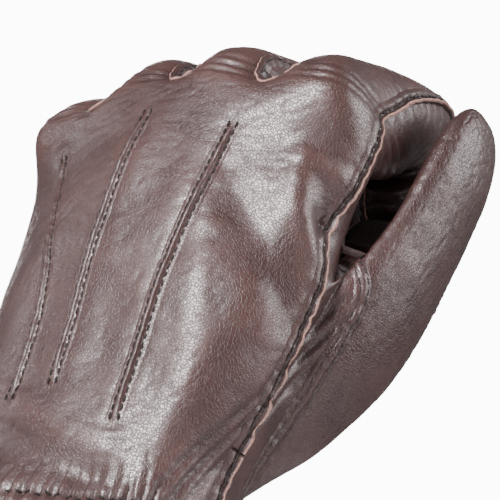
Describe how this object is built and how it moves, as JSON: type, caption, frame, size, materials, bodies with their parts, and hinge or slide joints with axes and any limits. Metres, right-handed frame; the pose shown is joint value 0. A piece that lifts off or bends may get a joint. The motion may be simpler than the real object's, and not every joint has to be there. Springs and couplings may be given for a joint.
{
  "type": "glove",
  "caption": "Left-hand leather dress glove for touchscreens, with points on the back and fourchettes, held in the shape of a closed fist.",
  "frame": {"origin": "middle of the wrist opening, in the plane of the cuff's hem", "axes": "+Z from the cuff up to the knuckles; the back of the hand faces -Y, the palm +Y, and the thumb is on the +X side"},
  "size_m": [0.1047, 0.0815, 0.181],
  "materials": {
    "leather": "satin",
    "hem": "satin",
    "lining": "matt knit",
    "thread": "waxed",
    "elastic": "matt",
    "pad": "matt, conductive"
  },
  "bodies": {
    "hand": {"back_panel": "leather", "palm_panel": "leather", "hand_lining": "lining", "cuff_hem": "hem", "wrist_elastic": "elastic", "point_index": "leather", "point_middle": "leather", "point_ring": "leather", "side_seam_thread": "thread", "wrist_gather_thread": "thread"},
    "knuckles": {"knuckle_back": "leather", "knuckle_palm": "leather", "fourchette_index_middle": "leather", "fourchette_middle_ring": "leather", "fourchette_ring_little": "leather", "knuckle_lining": "lining"},
    "index_middle": {"index_back_middle": "leather", "index_palm_middle": "leather", "index_fourchette_middle": "leather", "index_lining_middle": "lining"},
    "index_tip": {"index_back_tip": "leather", "index_palm_tip": "leather", "index_fourchette_tip": "leather", "index_lining_tip": "lining", "index_touch_pad": "pad"},
    "middle_middle": {"middle_back_middle": "leather", "middle_palm_middle": "leather", "middle_fourchette_middle": "leather", "middle_lining_middle": "lining"},
    "middle_tip": {"middle_back_tip": "leather", "middle_palm_tip": "leather", "middle_fourchette_tip": "leather", "middle_lining_tip": "lining"},
    "ring_middle": {"ring_back_middle": "leather", "ring_palm_middle": "leather", "ring_fourchette_middle": "leather", "ring_lining_middle": "lining"},
    "ring_tip": {"ring_back_tip": "leather", "ring_palm_tip": "leather", "ring_fourchette_tip": "leather", "ring_lining_tip": "lining"},
    "little_middle": {"little_back_middle": "leather", "little_palm_middle": "leather", "little_fourchette_middle": "leather", "little_lining_middle": "lining"},
    "little_tip": {"little_back_tip": "leather", "little_palm_tip": "leather", "little_fourchette_tip": "leather", "little_lining_tip": "lining"},
    "thumb": {"thumb_outer_base": "leather", "thumb_inner_base": "leather", "thumb_lining_base": "lining"},
    "thumb_tip": {"thumb_outer_tip": "leather", "thumb_inner_tip": "leather", "thumb_lining_tip": "lining", "thumb_touch_pad": "pad"}
  },
  "joints": [
    {"name": "knuckle_row", "type": "hinge", "parent": "hand", "child": "knuckles", "pos_m": [0, 0, 0.15], "axis": [1, 0, 0], "range_deg": [0, 60]},
    {"name": "index_bend", "type": "hinge", "parent": "knuckles", "child": "index_middle", "pos_m": [0.03225, 0.03551, 0.1705], "axis": [1, 0, 0], "range_deg": [0, 100]},
    {"name": "index_tip_bend", "type": "hinge", "parent": "index_middle", "child": "index_tip", "pos_m": [0.03225, 0.04406, 0.14701], "axis": [1, 0, 0], "range_deg": [0, 60]},
    {"name": "middle_bend", "type": "hinge", "parent": "knuckles", "child": "middle_middle", "pos_m": [0.01075, 0.0381, 0.172], "axis": [1, 0, 0], "range_deg": [0, 100]},
    {"name": "middle_tip_bend", "type": "hinge", "parent": "middle_middle", "child": "middle_tip", "pos_m": [0.01075, 0.04768, 0.14569], "axis": [1, 0, 0], "range_deg": [0, 60]},
    {"name": "ring_bend", "type": "hinge", "parent": "knuckles", "child": "ring_middle", "pos_m": [-0.01075, 0.03551, 0.1705], "axis": [1, 0, 0], "range_deg": [0, 100]},
    {"name": "ring_tip_bend", "type": "hinge", "parent": "ring_middle", "child": "ring_tip", "pos_m": [-0.01075, 0.0444, 0.14607], "axis": [1, 0, 0], "range_deg": [0, 60]},
    {"name": "little_bend", "type": "hinge", "parent": "knuckles", "child": "little_middle", "pos_m": [-0.03225, 0.02944, 0.167], "axis": [1, 0, 0], "range_deg": [0, 100]},
    {"name": "little_tip_bend", "type": "hinge", "parent": "little_middle", "child": "little_tip", "pos_m": [-0.03225, 0.03663, 0.14727], "axis": [1, 0, 0], "range_deg": [0, 60]},
    {"name": "thumb_swing", "type": "hinge", "parent": "hand", "child": "thumb", "pos_m": [0.0314, 0.0284, 0.07], "axis": [0, 1, 0.0056], "range_deg": [0, 20]},
    {"name": "thumb_bend", "type": "hinge", "parent": "thumb", "child": "thumb_tip", "pos_m": [0.0532, 0.028, 0.141], "axis": [0, 1, 0.0056], "range_deg": [0, 18]}
  ],
  "couplings": [
    {"joint": "index_tip_bend", "follows": "index_bend", "ratio": 0.6},
    {"joint": "middle_tip_bend", "follows": "middle_bend", "ratio": 0.6},
    {"joint": "ring_tip_bend", "follows": "ring_bend", "ratio": 0.6},
    {"joint": "little_tip_bend", "follows": "little_bend", "ratio": 0.6}
  ]
}
